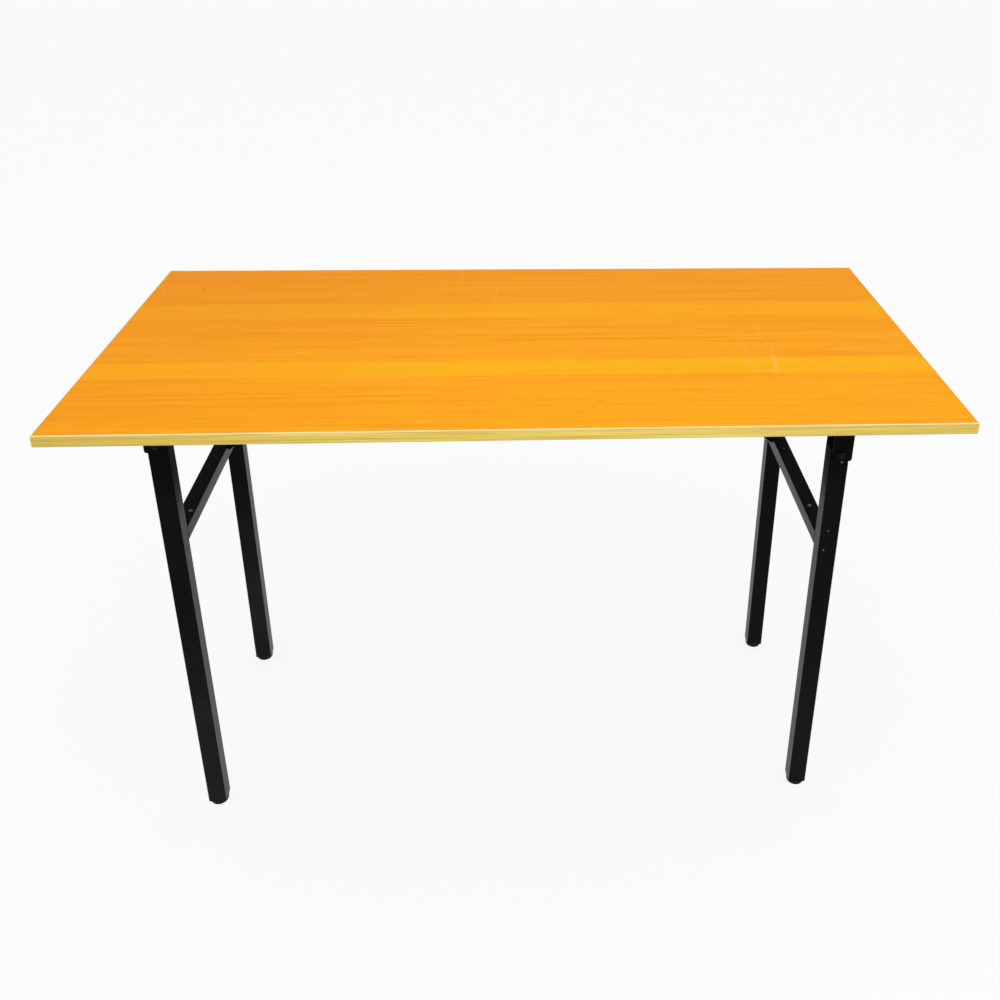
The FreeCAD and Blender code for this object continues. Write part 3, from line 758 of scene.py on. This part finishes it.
# Studio: a wide pale floor that runs out of sight under an even pale surround, with one broad soft lamp
# overhead to give the desk a faint shadow. The floor can be seen through from beneath.

floor_reach = 30.0
floor_colour = (0.88, 0.88, 0.88)
floor_glow = 0.86
white = (1.0, 1.0, 1.0)
surround_level = 0.80
lamp_place = Vector((0.3, -1.6, 2.9))
lamp_aim = Vector((0.0, 0.0, 0.6))
floor_mesh = bpy.data.meshes.new("floor")
corners = [(x * floor_reach, y * floor_reach, 0.0) for x, y in ((-1, -1), (1, -1), (1, 1), (-1, 1))]
floor_mesh.from_pydata(corners, [], [(0, 1, 2, 3)])
floor = bpy.data.objects.new("floor", floor_mesh)
bpy.context.collection.objects.link(floor)


def seen_directly(paint):
    """1 for rays from the camera, and for those that mirror or pass through to it."""
    kinds = ("Camera", "Glossy", "Transmission")
    rays = [paint.node("LightPath", {}, {}, "Is " + kind + " Ray") for kind in kinds]
    return rays[0].math("MAXIMUM", rays[1]).math("MAXIMUM", rays[2])


def pale_floor():
    material = bpy.data.materials.new("pale_floor")
    material.use_nodes = True
    tree = material.node_tree
    tree.nodes.remove(tree.nodes["Principled BSDF"])
    paint = Paint(tree)
    matt = paint.node("BsdfDiffuse", {}, {"Color": floor_colour})
    glow = paint.node("Emission", {}, {"Color": white, "Strength": 1.0})
    pale = paint.node("MixShader", {}, {0: seen_directly(paint) * floor_glow, 1: matt, 2: glow})
    beneath = paint.node("NewGeometry", {}, {}, "Backfacing")
    clear = paint.node("BsdfTransparent", {}, {})
    one_sided = paint.node("MixShader", {}, {0: beneath, 1: pale, 2: clear})
    tree.links.new(one_sided.outlet, tree.nodes["Material Output"].inputs[0])
    return material


floor_mesh.materials.append(pale_floor())
world = bpy.data.worlds.new("studio")
world.use_nodes = True
bpy.context.scene.world = world
surround = world.node_tree.nodes["Background"]
surround.inputs["Color"].default_value = (*white, 1)
feed(surround, "Strength", seen_directly(Paint(world.node_tree)) * (1 - surround_level) + surround_level)
lamp = bpy.data.lights.new("overhead", "AREA")
lamp.shape = "RECTANGLE"
lamp.size, lamp.size_y = 3.2, 2.4
lamp.energy = 27.0
stand = bpy.data.objects.new("overhead", lamp)
stand.location = lamp_place
stand.rotation_euler = (lamp_aim - lamp_place).to_track_quat("-Z", "Y").to_euler()
bpy.context.collection.objects.link(stand)
bpy.context.scene.view_settings.view_transform = "Standard"


# Camera: where the photograph was taken from, 1.2 m in front of the desk's edge and 1.4 m up, looking down on
# it. The picture's centre is off the lens axis, so the lens is shifted.

picture = 1000.0
sensor = 36.0
focal_pixels = 1072.27
lens_centre = (585.0, 365.0)
camera_place = Vector((0.00326, -1.49916, 1.39429))
yaw, pitch, roll = 0.06741, 0.43277, 0.01811
level_ahead = Vector((math.sin(yaw), math.cos(yaw), 0.0))
level_right = Vector((math.cos(yaw), -math.sin(yaw), 0.0))
ahead = level_ahead * math.cos(pitch) - Vector((0.0, 0.0, math.sin(pitch)))
over = level_ahead * math.sin(pitch) + Vector((0.0, 0.0, math.cos(pitch)))
tilted_right = level_right * math.cos(roll) + over * math.sin(roll)
tilted_over = over * math.cos(roll) - level_right * math.sin(roll)
lens = bpy.data.cameras.new("camera")
lens.sensor_width = sensor
lens.lens = focal_pixels / picture * sensor
lens.shift_x = (picture / 2 - lens_centre[0]) / picture
lens.shift_y = (lens_centre[1] - picture / 2) / picture
camera = bpy.data.objects.new("camera", lens)
turn = Matrix((tilted_right, tilted_over, -ahead)).transposed().to_4x4()
camera.matrix_world = Matrix.Translation(camera_place) @ turn
bpy.context.collection.objects.link(camera)
bpy.context.scene.camera = camera
